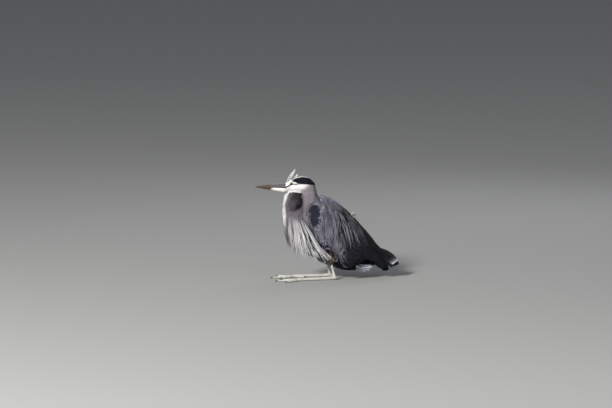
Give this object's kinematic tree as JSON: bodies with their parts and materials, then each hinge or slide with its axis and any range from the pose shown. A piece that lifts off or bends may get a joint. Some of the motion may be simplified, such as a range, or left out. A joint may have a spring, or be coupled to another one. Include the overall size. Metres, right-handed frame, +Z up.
{
  "type": "great blue heron",
  "caption": "Adult great blue heron resting on its tarsi, neck folded, bill level, wings closed and drooping; a still life-size model.",
  "frame": {"origin": "on the floor, under the middle of the bounding box", "axes": "+Z up; the bird faces -X, its left side is -Y, and its midplane is Y = 0"},
  "size_m": [0.6756, 0.222, 0.5115],
  "materials": {
    "feathers_grey": "soft matt blue-grey feathers with paler edges",
    "feathers_slate": "matt dark slate flight feathers",
    "feathers_black": "matt blue-black feathers",
    "feathers_white": "soft matt white feathers",
    "neck_mauve": "short soft grey-mauve feathers",
    "plumes_pale": "long loose pale grey and white plumes",
    "feathers_rufous": "short soft rufous feathers",
    "bill_horn": "satin horn, orange-brown to pale yellow, dusky along the top",
    "leg_skin": "dry scaled skin, grey-brown",
    "eye": "wet, yellow iris with a black pupil",
    "claw": "satin dark horn"
  },
  "bodies": {
    "root": {"bill_upper": "bill_horn", "bill_lower": "bill_horn", "eye_left": "eye", "eye_right": "eye", "head": "feathers_white", "crest_front": "feathers_white", "crest_rear": "feathers_white", "neck_upper": "neck_mauve", "neck_fold": "neck_mauve", "neck_base": "plumes_pale", "trunk": "feathers_slate", "belly": "feathers_white", "thigh_left": "feathers_rufous", "thigh_right": "feathers_rufous", "shank_left": "leg_skin", "shank_right": "leg_skin", "tarsus_left": "leg_skin", "tarsus_right": "leg_skin", "foot_left": "leg_skin", "foot_right": "leg_skin", "claw_left_middle": "claw", "claw_left_inner": "claw", "claw_left_outer": "claw", "claw_left_hind": "claw", "claw_right_middle": "claw", "claw_right_inner": "claw", "claw_right_outer": "claw", "claw_right_hind": "claw", "mantle": "feathers_grey", "tuft_back": "feathers_white", "wing_left_shoulder": "feathers_black", "wing_right_shoulder": "feathers_black", "wing_left_scapulars": "feathers_grey", "wing_right_scapulars": "feathers_grey", "wing_left_coverts": "feathers_grey", "wing_right_coverts": "feathers_grey", "wing_left_secondaries": "feathers_slate", "wing_right_secondaries": "feathers_slate", "wing_left_primaries": "feathers_slate", "wing_right_primaries": "feathers_slate", "tail": "feathers_slate", "plumes_front": "plumes_pale", "plumes_left": "plumes_pale", "plumes_right": "plumes_pale"}
  },
  "joints": []
}
